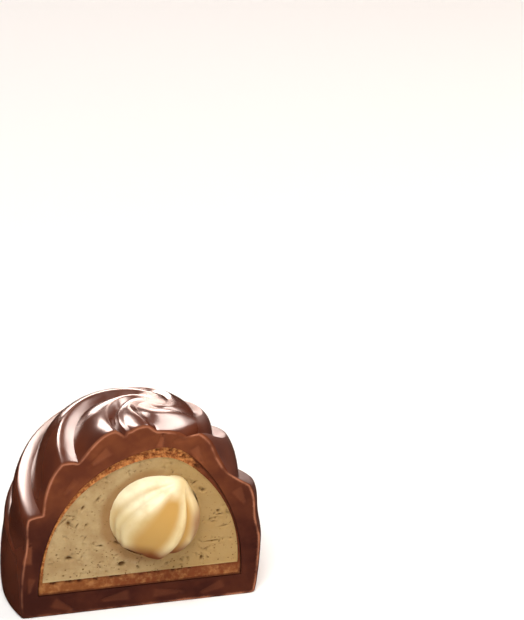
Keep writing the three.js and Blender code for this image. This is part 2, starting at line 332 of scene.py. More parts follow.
class Look:
    """One procedural material, built node by node on a single surface shader."""

    def __init__(self, name: str) -> None:
        """Starts the material with its shader and object coordinates in millimetres."""
        self.material = bpy.data.materials.new(name)
        self.material.use_nodes = True
        self.tree = self.material.node_tree
        self.shader = self.tree.nodes["Principled BSDF"]
        coordinates = self.node("ShaderNodeTexCoord")
        self.place = self.node("ShaderNodeMapping")
        self.place.inputs["Scale"].default_value = (1 / MM, 1 / MM, 1 / MM)
        self.link(coordinates.outputs["Object"], self.place.inputs["Vector"])

    def node(self, kind: str, **inputs: object) -> bpy.types.Node:
        """Adds a node and sets its inputs by name, with _ for a space."""
        made = self.tree.nodes.new(kind)
        for key, value in inputs.items():
            made.inputs[key.replace("_", " ")].default_value = value
        return made

    def link(self, source: Socket, target: Socket) -> None:
        """Joins two sockets."""
        self.tree.links.new(source, target)

    def surface(self, **values: object) -> None:
        """Sets constant values on the shader's own sockets."""
        for key, value in values.items():
            self.shader.inputs[key.replace("_", " ")].default_value = value

    def noise(self, scale: float, detail: float = 3.0, roughness: float = 0.55) -> Socket:
        """Cloudy pattern with about this many bumps to a millimetre."""
        made = self.node("ShaderNodeTexNoise", Scale=scale, Detail=detail, Roughness=roughness)
        self.link(self.place.outputs[0], made.inputs["Vector"])
        return made.outputs["Fac"]

    def cells(self, scale: float) -> Socket:
        """Distance pattern of scattered cells, with about this many to a millimetre."""
        made = self.node("ShaderNodeTexVoronoi", Scale=scale)
        self.link(self.place.outputs[0], made.inputs["Vector"])
        return made.outputs["Distance"]

    def hollows(self, scale: float, low: float, high: float) -> Socket:
        """Scattered round spots, 1 within low of a cell's middle and 0 beyond high."""
        return self.ramp(self.cells(scale), high, low)

    def attribute(self, name: str) -> Socket:
        """Value that the mesh carries at its vertices."""
        made = self.node("ShaderNodeAttribute")
        made.attribute_name = name
        return made.outputs["Fac"]

    def ramp(self, source: Socket, low: float, high: float) -> Socket:
        """Runs from 0 to 1 while the source runs from low to high."""
        made = self.node("ShaderNodeMapRange")
        made.interpolation_type = "SMOOTHSTEP"
        made.inputs["From Min"].default_value = low
        made.inputs["From Max"].default_value = high
        self.link(source, made.inputs["Value"])
        return made.outputs["Result"]

    def times(self, first: Socket, second: Socket | float) -> Socket:
        """Product of two values."""
        made = self.node("ShaderNodeMath")
        made.operation = "MULTIPLY"
        self.link(first, made.inputs[0])
        if isinstance(second, float):
            made.inputs[1].default_value = second
        else:
            self.link(second, made.inputs[1])
        return made.outputs[0]

    def plus(self, first: Socket, second: Socket) -> Socket:
        """Sum of two values."""
        made = self.node("ShaderNodeMath")
        made.operation = "ADD"
        self.link(first, made.inputs[0])
        self.link(second, made.inputs[1])
        return made.outputs[0]

    def blend(
        self,
        share: Socket,
        first: Socket | Colour,
        second: Socket | Colour,
    ) -> Socket:
        """Colour that goes from the first to the second as share goes from 0 to 1."""
        made = self.node("ShaderNodeMix")
        made.data_type = "RGBA"
        self.link(share, made.inputs["Factor"])
        for value, key in ((first, "A"), (second, "B")):
            socket = next(s for s in made.inputs if s.name == key and s.type == "RGBA")
            if isinstance(value, tuple):
                socket.default_value = (*value, 1.0)
            else:
                self.link(value, socket)
        return next(s for s in made.outputs if s.type == "RGBA")

    def colour(self, source: Socket) -> None:
        """Sends a colour to the shader."""
        self.link(source, self.shader.inputs["Base Color"])

    def roughness(self, share: Socket, low: float, high: float) -> None:
        """Lets the roughness run from low to high as share goes from 0 to 1."""
        made = self.node("ShaderNodeMapRange")
        made.inputs["To Min"].default_value = low
        made.inputs["To Max"].default_value = high
        self.link(share, made.inputs["Value"])
        self.link(made.outputs["Result"], self.shader.inputs["Roughness"])

    def bump(self, height: Socket, depth: float, strength: float = 1.0) -> None:
        """Fine relief, with its depth in millimetres."""
        made = self.node("ShaderNodeBump", Strength=strength, Distance=depth * MM)
        self.link(height, made.inputs["Height"])
        self.link(made.outputs["Normal"], self.shader.inputs["Normal"])


@dataclass(frozen=True)
class GlossFinish:
    """Chocolate that set against a smooth mould: dark, even and glossy."""

    dark: Colour = (0.070, 0.0165, 0.0080)
    warm: Colour = (0.112, 0.0280, 0.0120)
    low: float = 0.20
    high: float = 0.56
    uneven: float = 0.2

    def build(self) -> bpy.types.Material:
        """Makes the material."""
        look = Look("chocolate_gloss")
        cloud = look.noise(0.16, 2.0)
        look.colour(look.blend(look.ramp(cloud, 0.3, 0.7), self.dark, self.warm))
        clouded = look.times(look.ramp(look.noise(0.5, 2.0), 0.3, 0.7), self.uneven)
        rubbed = look.times(look.attribute("rubbed"), 1.0 - self.uneven)
        look.roughness(look.plus(clouded, rubbed), self.low, self.high)
        look.surface(IOR=1.5, Specular_IOR_Level=0.5)
        look.bump(look.noise(0.55, 2.0), 0.012, 0.5)
        return look.material


@dataclass(frozen=True)
class CutFinish:
    """Chocolate where the knife went through: matte, reddish, with paler chips and a painted highlight on
    its rounded rim.
    """

    low_dark: Colour = (0.042, 0.0090, 0.0052)
    low_light: Colour = (0.072, 0.0170, 0.0078)
    high_dark: Colour = (0.105, 0.0260, 0.0110)
    high_light: Colour = (0.185, 0.0520, 0.0185)
    pale: Colour = (0.230, 0.070, 0.030)
    # Painted highlight on the rounded outer edge of the cut; also the colour of the pale specks in the
    # grain.
    rim: Colour = (0.400, 0.155, 0.085)

    def build(self) -> bpy.types.Material:
        """Makes the material."""
        look = Look("chocolate_cut")
        patches = look.ramp(look.noise(0.22, 3.0), 0.35, 0.68)
        low = look.blend(patches, self.low_dark, self.low_light)
        high = look.blend(patches, self.high_dark, self.high_light)
        ground = look.blend(look.attribute("lift"), low, high)
        chipped = look.blend(look.attribute("chip"), ground, self.pale)
        # Painted highlight along the rim, broken up in places.
        broken = look.ramp(look.noise(0.45, 2.0), 0.30, 0.62)
        rimmed = look.blend(look.times(look.attribute("rim"), broken), chipped, self.rim)
        grain = look.noise(7.0, 3.0, 0.6)
        specks = look.times(look.ramp(grain, 0.64, 0.80), 0.22)
        look.colour(look.blend(specks, rimmed, self.rim))
        look.roughness(grain, 0.5, 0.7)
        look.surface(Specular_IOR_Level=0.05)
        look.bump(look.plus(grain, look.noise(1.6, 3.0)), 0.04, 0.5)
        return look.material


@dataclass(frozen=True)
class WaferFinish:
    """Baked wafer: caramel, browner where it is porous, with painted shade in its air holes and a painted
    shadow in the gap along the shell.
    """

    pale: Colour = (0.50, 0.205, 0.062)
    brown: Colour = (0.20, 0.055, 0.016)
    floor_left: Colour = (0.195, 0.062, 0.018)
    floor_right: Colour = (0.165, 0.045, 0.015)
    streak: Colour = (0.390, 0.175, 0.058)
    # Darker reddish brown towards the right.
    smear: Colour = (0.135, 0.034, 0.013)
    # Painted shade in the air holes and painted shadow in the gap beside the shell.
    pit: Colour = (0.060, 0.015, 0.006)

    def build(self) -> bpy.types.Material:
        """Makes the material."""
        look = Look("wafer")
        pores = look.ramp(look.cells(2.6), 0.05, 0.5)
        mottled = look.blend(look.ramp(look.noise(1.5, 4.0, 0.7), 0.35, 0.62), self.brown, self.pale)
        crumb = look.blend(look.attribute("smear"), look.blend(pores, self.brown, mottled), self.smear)
        plain = look.blend(look.attribute("right"), self.floor_left, self.floor_right)
        streaks = look.times(look.ramp(look.noise(0.7, 4.0, 0.65), 0.42, 0.72), 0.75)
        floor = look.blend(streaks, plain, self.streak)
        baked = look.blend(look.attribute("floor"), crumb, floor)
        # Painted shade in the air holes and painted shadow along the gap to the shell.
        look.colour(look.blend(look.attribute("pit"), baked, self.pit))
        look.surface(Roughness=0.85, Specular_IOR_Level=0.05)
        look.bump(look.noise(4.0, 4.0, 0.7), 0.12, 0.8)
        return look.material


@dataclass(frozen=True)
class CreamFinish:
    """Nut cream: a soft greyish beige with a fine, airy grain, painted shade in its air pits and a painted
    shadow ring beside the kernel.
    """

    pale: Colour = (0.425, 0.305, 0.150)
    dull: Colour = (0.325, 0.210, 0.094)
    warm: Colour = (0.355, 0.225, 0.083)
    # Painted shade in the air pits, and a painted shadow ring round the kernel's left side.
    pit: Colour = (0.13, 0.062, 0.018)
    ring: Colour = (0.27, 0.140, 0.052)

    def build(self) -> bpy.types.Material:
        """Makes the material."""
        look = Look("cream")
        ground = look.blend(look.ramp(look.noise(0.35, 4.0, 0.6), 0.32, 0.68), self.dull, self.pale)
        warmed = look.blend(look.times(look.attribute("warm"), 0.8), ground, self.warm)
        # Painted shadow ring beside the kernel.
        shaded = look.blend(look.attribute("ring"), warmed, self.ring)
        airy = look.ramp(look.noise(0.8, 2.0), 0.44, 0.56)
        large = look.times(look.hollows(1.2, 0.09, 0.20), airy)
        small = look.times(look.hollows(2.3, 0.14, 0.27), look.ramp(look.noise(1.1, 2.0), 0.46, 0.58))
        holes = look.times(look.plus(large, small), look.attribute("airy"))
        # Painted shade in the air pits, from the pattern and from the deep pits of the mesh.
        dotted = look.blend(look.times(holes, 0.8), shaded, self.pit)
        look.colour(look.blend(look.attribute("pit"), dotted, self.pit))
        look.surface(Roughness=0.8, Specular_IOR_Level=0.08, Subsurface_Weight=0.12)
        look.surface(Subsurface_Radius=(0.0012, 0.0008, 0.0004), Subsurface_Scale=0.6)
        grain = look.plus(look.noise(3.2, 4.0, 0.65), look.noise(9.0, 2.0))
        look.bump(look.plus(grain, look.times(holes, -2.0)), 0.07, 0.7)
        return look.material


@dataclass(frozen=True)
class NutFinish:
    """Blanched hazelnut: ivory on its ridges, honey in its furrows, painted light on its top, painted shade
    low down and on the right.
    """

    ivory: Colour = (0.63, 0.505, 0.270)
    # The crown colour paints light on the kernel's top; the last, darkest colour paints shade low down and
    # on the right.
    crown: Colour = (0.86, 0.79, 0.55)
    honey: Colour = (0.46, 0.270, 0.075)
    under: Colour = (0.19, 0.050, 0.010)

    def build(self) -> bpy.types.Material:
        """Makes the material."""
        look = Look("hazelnut")
        mottle = look.times(look.ramp(look.noise(0.5, 3.0), 0.4, 0.75), 0.3)
        ground = look.blend(mottle, look.blend(look.attribute("crown"), self.ivory, self.crown), self.honey)
        furrowed = look.blend(look.attribute("furrow"), ground, self.honey)
        look.colour(look.blend(look.attribute("under"), furrowed, self.under))
        look.surface(Roughness=0.5, Specular_IOR_Level=0.12, Subsurface_Weight=0.10)
        look.surface(Subsurface_Radius=(0.0016, 0.0009, 0.0004), Subsurface_Scale=0.6)
        look.bump(look.noise(1.4, 3.0), 0.03, 0.5)
        return look.material


@dataclass(frozen=True)
class FloorFinish:
    """Plain pale floor."""

    colour: Colour = (0.93, 0.93, 0.93)

    def build(self) -> bpy.types.Material:
        """Makes the material."""
        look = Look("floor")
        faint = look.times(look.noise(0.02, 2.0), 0.04)
        look.colour(look.blend(faint, self.colour, (0.9, 0.9, 0.9)))
        look.surface(Roughness=0.9, Specular_IOR_Level=0.1)
        return look.material


# ---- Shapes --------------------------------------------------------------------------------


@dataclass(frozen=True)
class Dome:
    """A dome's outline by height angle: 0 at its rim and 90 degrees at its top."""

    radius: float
    floor: float
    top: float
    side: float = 0.7
    crown: float = 1.2
    belly: float = 0.0
    behind: float = 5.8
    lean: float = 2.0
    lean_power: float = 6.0
    depth: float = 0.88

    def outline(self, height_angle: Array | float) -> tuple[Array, Array]:
        """Radius and height at height angles in degrees."""
        angle = np.radians(np.clip(height_angle, 0.0, 90.0))
        narrowing = np.maximum(np.cos(angle), 0.0) ** self.side
        radius = self.radius * narrowing * (1.0 + self.belly * np.sin(2.0 * angle))
        return radius, self.floor + (self.top - self.floor) * np.sin(angle) ** self.crown

    def normal(self, height_angle: Array) -> tuple[Array, Array]:
        """Outward direction of the outline, as its radial and vertical parts."""
        step = 0.06
        r0, z0 = self.outline(np.maximum(height_angle - step, 0.0))
        r1, z1 = self.outline(np.minimum(height_angle + step, 90.0))
        length = np.hypot(z1 - z0, r0 - r1) + 1e-12
        return (z1 - z0) / length, (r0 - r1) / length

    def angle_at(self, radius: Array) -> Array:
        """Height angle, above the belly, at which the dome has a radius."""
        angles = np.linspace(10.0, 90.0, 6000)
        radii, _ = self.outline(angles)
        return np.interp(-radius, -radii, angles)

    def grown(self, wall: float, floor: float, top: float) -> "Dome":
        """The dome made larger by these thicknesses, or smaller where they are negative."""
        return replace(self, radius=self.radius + wall, floor=self.floor - floor, top=self.top + top)

    def slice_loop(self, y: float, arch: Array, floor_steps: int) -> Array:
        """Loop of x, z where the dome is cut at a depth y behind the cut face.

        Args:
            y: Depth behind the cut face.
            arch: Places along the arch from -1, low on the left, to 1, low on the right.
            floor_steps: Number of points along the floor, from right to left.

        Returns:
            The loop's points, arch first.
        """
        offset = y - self.behind
        stretch = self.depth if offset > 0 else 1.0
        reach = min(abs(offset) / stretch, self.radius * 0.9999)
        if reach < 0.2:
            highest = 90.0
        else:
            highest = float(self.angle_at(np.array([reach]))[0])
            if reach > float(self.outline(10.0)[0]):
                angles = np.linspace(0.0, 10.0, 400)
                highest = float(np.interp(-reach, -self.outline(angles)[0], angles))
        angles = highest * (1.0 - np.abs(arch) ** 2.0)
        radius, height = self.outline(angles)
        sine = np.clip(offset / stretch / np.maximum(radius, 1e-6), -1.0, 1.0)
        lift = (height - self.floor) / (self.top - self.floor)
        lean = self.lean * lift**self.lean_power * ease((1.0 - sine) / 2.0)
        half = radius * np.sqrt(np.maximum(1.0 - sine**2, 0.0))
        x = np.sign(arch) * half + lean
        x[np.abs(arch) < 1e-9] = lean[np.abs(arch) < 1e-9]
        across = np.linspace(1.0, -1.0, floor_steps + 2)[1:-1]
        floor_points = np.stack([across * x[-1], np.full(floor_steps, self.floor)], -1)
        return np.concatenate([np.stack([x, height], -1), floor_points])

    def back(self, arch: Array, floor_steps: int, slices: int) -> Array:
        """Rows of points over the dome from the cut face to the back, for a grid patch."""
        furthest = self.behind + self.radius * self.depth
        steps = np.sin(np.linspace(0.0, np.pi / 2, slices)) * (furthest - 0.01)
        rows = []
        for y in steps:
            loop = self.slice_loop(float(y), arch, floor_steps)
            rows.append(np.stack([loop[:, 0], np.full(len(loop), y), loop[:, 1]], -1))
        return np.array(rows)


@dataclass(frozen=True)
class Chip:
    """A flake that the knife lifted out of the cut chocolate: a shallow tilted facet."""

    x: float
    z: float
    length: float
    width: float
    turn: float
    depth: float
    pale: float = 0.6

    def shape(self, x: Array, z: Array) -> tuple[Array, Array]:
        """Depth of the flake's bed at each place, and how much of it lies there."""
        turn = math.radians(self.turn)
        along = ((x - self.x) * math.cos(turn) + (z - self.z) * math.sin(turn)) / self.length
        across = (-(x - self.x) * math.sin(turn) + (z - self.z) * math.cos(turn)) / self.width
        wedge = np.abs(across) / np.maximum(0.25 + 0.75 * (along + 1.0) / 2.0, 0.05)
        share = ease((1.0 - np.abs(along)) / 0.3) * ease((1.0 - wedge) / 0.35)
        return share * self.depth * (0.35 + 0.65 * (1.0 - along) / 2.0), share * self.pale


@dataclass
class ChocolateShell:
    """The swirled dome of chocolate, hollow for its filling, with its cut face."""

    # The plain dome and the hollow for the filling.
    outside: Dome = Dome(15.94, 0.0, 25.6, crown=1.236, belly=0.083)
    cavity: Dome = Dome(13.45, 3.0, 23.3, 1.2, 0.944, behind=3.55, lean=2.76, lean_power=6.6, depth=1.08)
    # The flutes: how many, the swirl's centre, and their relief from crease to crest.
    flutes: int = 5
    columns: int = 44
    rings: int = 190
    centre: tuple[float, float] = (1.7, 0.0)
    relief: float = 1.41
    crest: float = 0.83
    steep_width: float = 1.6
    steep_most: float = 0.45
    fall_power: float = 1.35
    rise_power: float = 1.27
    # How far the creases turn at height angles, and how far each one leans, in degrees.
    twist_heights: tuple[float, ...] = (20, 42, 82, 86, 90)
    twist_turns: tuple[float, ...] = (276, 182, 46, 23, -59)
    twist_softening: tuple[float, ...] = (-3.0, -1.5, 0.0, 1.5, 3.0)
    foot_leans: tuple[float, ...] = (11, 14, 35, 27, 7)
    middle_leans: tuple[float, ...] = (-9, 2, 22, 17, 7)
    top_leans: tuple[float, ...] = (1, 16, 4, -1, 9)
    lean_from: float = 40.0
    lean_over: float = 44.0
    middle_at: float = 60.0
    middle_spread: float = 12.0
    bent_crease: int = 3
    bend_at: float = 75.0
    bend_by: float = 19.0
    bend_spread: float = 4.0
    # Where the relief is calmer beside the centre, and the flutes are narrower.
    calm_at: float = 10.0
    calm_spread: float = 65.0
    calm_share: float = 0.8
    calm_from: float = 70.0
    calm_over: float = 8.0
    squeeze_at: float = 328.0
    squeeze_by: float = 12.0
    squeeze_from: float = 25.0
    squeeze_over: float = 20.0
    # Height angles over which the relief comes in above the foot and fades at the top.
    relief_from: float = 22.0
    relief_over: float = 16.0
    crown_from: float = 62.0
    crown_over: float = 22.0
    crown_loss: float = 0.55
    tip_over: float = 9.0
    # How far the creases lie inside the plain dome, in millimetres.
    sink: float = 0.80
    foot_sink: float = 0.01
    foot_sink_to: float = 58.0
    foot_sink_over: float = 16.0
    back_sink: float = 0.46
    right_sink: float = 0.45
    left_sink: float = -0.13
    # A swelling beside the cut on the right, and the gloss rubbed off from there on.
    bulge_out: float = 0.6
    bulge_turn: float = 345.0
    bulge_height: float = 32.0
    bulge_spread: tuple[float, float] = (22.0, 14.0)
    rubbed_from: float = 6.6
    rubbed_over: float = 1.2
    # The small second ridge on one flute.
    step_flute: int = 2
    step_crest: float = 0.12
    step_width: float = 0.16
    step_relief: float = 0.2
    step_from: float = 60.0
    step_to: float = 86.0
    step_over: float = 8.0
    # How the sphere's rings and columns are laid over the dome, and the rounded edges.
    lowest: float = 1.8
    crowding: float = 1.06
    rise_columns: float = 0.4
    wall_share: float = 0.86
    foot_share: float = 0.90
    foot_round: float = 0.7
    edge_round: float = 0.2
    face_spacing: float = 0.17
    # Place, length, width, turn, depth and paleness of the flakes that the knife lifted.
    chips: tuple[Chip, ...] = (
        Chip(1.9, 23.3, 1.3, 0.55, 258, 0.24, 0.75),
        Chip(-5.6, 21.6, 1.5, 0.8, 40, 0.18, 0.55),
        Chip(6.6, 20.6, 1.5, 0.8, 118, 0.2, 0.6),
        Chip(4.3, 23.0, 1.2, 0.7, 10, 0.12, 0.15),
        Chip(-14.2, 9.2, 1.7, 0.8, 262, 0.22, 0.5),
        Chip(-9.2, 17.9, 1.4, 0.6, 52, 0.12, 0.2),
        Chip(12.3, 14.3, 1.4, 0.9, 120, 0.16, 0.3),
        Chip(-9.8, 1.2, 1.6, 0.9, 150, 0.2, 0.22),
        Chip(-3.2, 1.6, 2.0, 0.9, 8, 0.16, 0.2),
        Chip(3.6, 1.5, 2.2, 0.8, 176, 0.18, 0.2),
        Chip(9.2, 1.4, 1.8, 0.8, 20, 0.14, 0.18),
        Chip(-13.9, 4.6, 1.2, 0.6, 80, 0.12, 0.25),
    )

    def crease_turn(self, crease: int, heights: Array) -> Array:
        """Direction of a crease round the swirl, in degrees, at height angles."""
        lift = np.clip((heights - self.lean_from) / self.lean_over, 0.0, 1.0)
        index = crease % self.flutes
        lean = self.top_leans[index] * lift + self.foot_leans[index] * (1.0 - lift)
        lean = lean + self.middle_leans[index] * bell(heights - self.middle_at, self.middle_spread)
        if index == self.bent_crease:
            lean = lean - self.bend_by * bell(heights - self.bend_at, self.bend_spread)
        near = [np.interp(heights + o, self.twist_heights, self.twist_turns) for o in self.twist_softening]
        return 360.0 * crease / self.flutes + np.mean(near, axis=0) + lean

    def bulge(self, turn: Array, heights: Array) -> Array:
        """How far the wall swells beside the cut on the right, at directions and height angles."""
        wide, tall = self.bulge_spread
        beside = bell(turn_between(turn, self.bulge_turn), wide)
        return self.bulge_out * beside * bell(heights - self.bulge_height, tall)

    def flute_shape(self, flute: int, across: Array, heights: Array) -> Array:
        """Relief across a flute, 0 at its creases and 1 at its crest."""
        width = 2.0 * np.pi / self.flutes * self.outside.outline(heights)[0]
        steep = np.clip(self.steep_width / np.maximum(width, 0.1), 1.0 - self.crest, self.steep_most)
        crest = 1.0 - steep
        rise = np.sin(np.pi / 2 * np.clip(across / crest, 0.0, 1.0)) ** self.rise_power
        fall = 1.0 - np.clip((across - crest) / (1.0 - crest), 0.0, 1.0) ** self.fall_power
        shape = np.where(across < crest, rise, fall)
        if flute == self.step_flute:
            up = np.clip(across / self.step_crest, 0.0, 1.0)
            down = np.clip((across - self.step_crest) / self.step_width, 0.0, 1.0)
            low = ease((heights - self.step_from) / self.step_over)
            high = ease((self.step_to - heights) / self.step_over)
            shape = shape + self.step_relief * up * (1.0 - down**1.3) * low * high
        return shape

    def relief_share(self, heights: Array) -> Array:
        """Share of the full relief: none at the foot, less near the top."""
        foot = ease((heights - self.relief_from) / self.relief_over)
        crown = 1.0 - self.crown_loss * ease((heights - self.crown_from) / self.crown_over)
        return foot * crown * ease((90.0 - heights) / self.tip_over)

    def swirl(self, flute: int, across: Array, heights: Array) -> Array:
        """Points on the swirled outside, in millimetres.

        Args:
            flute: Number of the flute.
            across: Place across the flute, from 0 to 1.
            heights: Height angles in degrees, one for each place.

        Returns:
            One row of x, y, z for each place.
        """
        start = self.crease_turn(flute, heights)
        end = self.crease_turn(flute + 1, heights)
        plain = start + (end - start) * across
        squeeze = self.squeeze_by * ease((heights - self.squeeze_from) / self.squeeze_over)
        offset = np.clip(3.0 * turn_between(plain, self.squeeze_at), -180.0, 180.0)
        turn = plain - squeeze * np.sin(np.radians(offset))

        ring, _ = self.outside.outline(heights)
        shift = ease(1.0 - ring / self.outside.radius)
        x = self.centre[0] * shift + ring * np.cos(np.radians(turn))
        y = self.centre[1] * shift + ring * np.sin(np.radians(turn))
        away = np.hypot(x, y)
        moved = heights > self.squeeze_from
        body = np.where(moved, self.outside.angle_at(away), heights)
        radius, height = self.outside.outline(body)
        out, up = self.outside.normal(body)
        foot = self.foot_sink * ease((self.foot_sink_to - heights) / self.foot_sink_over)
        east = np.cos(np.radians(turn))
        side = self.right_sink * np.maximum(east, 0.0) + self.left_sink * np.maximum(-east, 0.0)
        sink = self.sink + foot + self.back_sink * np.sin(np.radians(turn)) + side
        calm = self.calm_share * bell(turn_between(turn, self.calm_at), self.calm_spread)
        calm = calm * ease((heights - self.calm_from) / self.calm_over)
        share = self.relief_share(heights) * (1.0 - calm)
        raised = (self.relief * self.flute_shape(flute, across, heights) - sink) * share
        raised = raised + self.bulge(np.degrees(np.arctan2(y, x)), body)
        grown = np.where(moved, away, radius) + out * raised
        scale = grown / np.maximum(away, 1e-9)
        return np.stack([x * scale, y * scale + self.outside.behind, height + up * raised], -1)

    def build_outside(self, seat: Seat) -> bpy.types.Object:
        """Swirled dome with its base, cut off at the cut face and rounded along the cut."""
        deselect_all()
        segments = self.flutes * self.columns
        bpy.ops.mesh.primitive_uv_sphere_add(segments=segments, ring_count=self.rings, radius=1.0)
        body = bpy.context.object
        body.name = "shell"
        points = read_points(body.data)
        polar = np.arccos(np.clip(points[:, 2], -1.0, 1.0)) / np.pi
        turn = np.arctan2(points[:, 1], points[:, 0]) / (2 * np.pi)
        column = np.round(turn * segments).astype(int) % segments
        flute, part = column // self.columns, (column % self.columns) / self.columns
        first = self.rise_columns
        crowded = 0.5 + 0.5 * np.sin((part - first) / (1.0 - first) * np.pi / 2)
        across = np.where(part < first, part / first * 0.5, crowded)
        down = np.clip(polar / self.wall_share, 0.0, 1.0) ** self.crowding
        heights = 90.0 - (90.0 - self.lowest) * down
        shaped = np.empty_like(points)
        for index in range(self.flutes):
            chosen = flute == index
            shaped[chosen] = self.swirl(index, across[chosen], heights[chosen])
        self.shape_foot(shaped, polar)
        write_points(body.data, shaped)
        self.cut_front(body)
        return body

    def shape_foot(self, points: Array, polar: Array) -> None:
        """Rounds the bottom edge and closes the flat base, in place.

        Args:
            points: All points of the dome, those below the wall still at its lowest ring.
            polar: Place of each point from the top, 0, to the middle of the base, 1.
        """
        low = polar > self.wall_share
        middle = np.array([0.0, self.outside.behind])
        spoke = points[low, :2] - middle
        rim = np.linalg.norm(spoke, axis=1, keepdims=True)
        height = points[low, 2]
        span = self.foot_share - self.wall_share
        bend = np.clip((polar[low] - self.wall_share) / span, 0.0, 1.0) * np.pi / 2
        inward = self.foot_round * (1.0 - np.cos(bend))
        flat = np.clip((polar[low] - self.foot_share) / (1.0 - self.foot_share), 0.0, 1.0)
        reach = (rim[:, 0] - inward) * (1.0 - flat)
        points[low, :2] = middle + spoke / rim * reach[:, None]
        points[low, 2] = height * (1.0 - np.sin(bend))

    def cut_front(self, body: bpy.types.Object) -> None:
        """Cuts the dome at the cut face and rounds its outer edge there."""
        bpy.ops.object.mode_set(mode="EDIT")
        for share in (1.0, 0.72, 0.48, 0.28, 0.12, 0.0):
            bpy.ops.mesh.select_all(action="SELECT")
            plane, last = (0.0, self.edge_round * share, 0.0), share == 0.0
            bpy.ops.mesh.bisect(plane_co=plane, plane_no=(0, 1, 0), clear_inner=last, threshold=1e-5)
        bpy.ops.mesh.select_all(action="SELECT")
        bpy.ops.mesh.remove_doubles(threshold=0.004)
        bpy.ops.object.mode_set(mode="OBJECT")
        mesh = body.data
        normals = np.empty(len(mesh.vertices) * 3)
        mesh.vertices.foreach_get("normal", normals)
        normals = normals.reshape(-1, 3)
        points = read_points(mesh)
        near = points[:, 1] < self.edge_round
        back = self.edge_round - np.clip(points[near, 1], 0.0, None)
        inward = self.edge_round - np.sqrt(np.maximum(self.edge_round**2 - back**2, 0.0))
        out = normals[near][:, [0, 2]]
        out /= np.maximum(np.linalg.norm(out, axis=1, keepdims=True), 1e-6)
        points[near, 0] -= out[:, 0] * inward
        points[near, 2] -= out[:, 1] * inward
        points[np.abs(points[:, 1]) < 1e-4, 1] = 0.0
        write_points(mesh, points)

    def front_loop(self, body: bpy.types.Object) -> Array:
        """Open front edge of the cut dome, as a loop of x, z in order."""
        made = bmesh.new()
        made.from_mesh(body.data)
        open_edges = [e for e in made.edges if e.is_boundary]
        links: dict[int, list[int]] = {}
        for edge in open_edges:
            a, b = (v.index for v in edge.verts)
            links.setdefault(a, []).append(b)
            links.setdefault(b, []).append(a)
        first = next(iter(links))
        order, before, here = [first], -1, first
        while True:
            following = [n for n in links[here] if n != before]
            before, here = here, following[0]
            if here == first:
                break
            order.append(here)
        made.verts.ensure_lookup_table()
        loop = np.array([[made.verts[i].co.x, made.verts[i].co.z] for i in order])
        made.free()
        return loop

    def face_relief(self, x: Array, z: Array) -> Array:
        """Depth of the cut face behind the cut plane: chips, ribs and grain."""
        depth = np.zeros(len(x))
        for chip in self.chips:
            depth = np.maximum(depth, chip.shape(x, z)[0])
        points = np.stack([x, z, np.zeros(len(x))], -1)
        waves = 0.05 * (noise_at(points, 1.6, 1.0) + 0.6 * noise_at(points, 0.6, 2.0))
        ribs = 0.05 * (1.0 - np.cos(z / 0.62 * 2 * np.pi)) * ease((x - 14.1) / 0.5)
        ribs = ribs * ease((z - 2.0) / 1.5) * ease((11.0 - z) / 1.5)
        return depth + waves + 0.05 + ribs

    def mark(self, piece: bpy.types.Object, seat: Seat, rim: Array) -> None:
        """Writes where the cut face is chip, where its rim gets a painted highlight, where it is high up,
        and where the gloss is rubbed off.
        """
        points = seat.local(read_points(piece.data))
        front = points[:, 1] < self.edge_round * 1.2
        flat = points[front][:, [0, 2]]
        chip = np.zeros(len(points))
        edge = np.zeros(len(points))
        pale = np.zeros(len(flat))
        for one in self.chips:
            pale = np.maximum(pale, one.shape(flat[:, 0], flat[:, 1])[1])
        chip[front] = pale
        # The painted rim highlight is weaker low down on the left.
        rim_highlight_share = 0.35 + 0.65 * np.maximum(ease((flat[:, 1] - 5.0) / 5.0), ease(flat[:, 0] / 3.0))
        edge[front] = (1.0 - ease(distance_to_loop(flat, rim) / 0.2)) * rim_highlight_share
        lift = ease((points[:, 2] - 8.0) / 14.0)
        rubbed = ease((points[:, 0] - self.rubbed_from) / self.rubbed_over)
        write_shares(piece.data, chip=chip, rim=edge, lift=lift, rubbed=rubbed)

    def build(self, seat: Seat) -> bpy.types.Object:
        """Builds the shell, dresses it and puts it in its place."""
        body = self.build_outside(seat)
        rim = self.front_loop(body)
        arch = np.linspace(-1.0, 1.0, 281)
        hollow = grid_patch(self.cavity.back(arch, 90, 34), finish=1)
        hole = self.cavity.slice_loop(0.0, arch, 90)
        face = face_patch(rim, [hole], self.face_spacing, self.face_relief, seed=3, finish=1)
        points = read_points(body.data)
        faces = [tuple(p.vertices) for p in body.data.polygons]
        edge_faces = [all(points[i, 1] < self.edge_round * 0.99 for i in f) for f in faces]
        wall = Patch(points, [f for f, e in zip(faces, edge_faces) if not e], 0)
        rounding = Patch(points, [f for f, e in zip(faces, edge_faces) if e], 1)
        bpy.data.objects.remove(body, do_unlink=True)
        piece = make_piece("praline_shell", [wall, rounding, face, hollow], seat, 38.0)
        piece.data.materials.append(GlossFinish().build())
        piece.data.materials.append(CutFinish().build())
        self.mark(piece, seat, rim)
        register(piece, Layer.SHELL)
        return piece


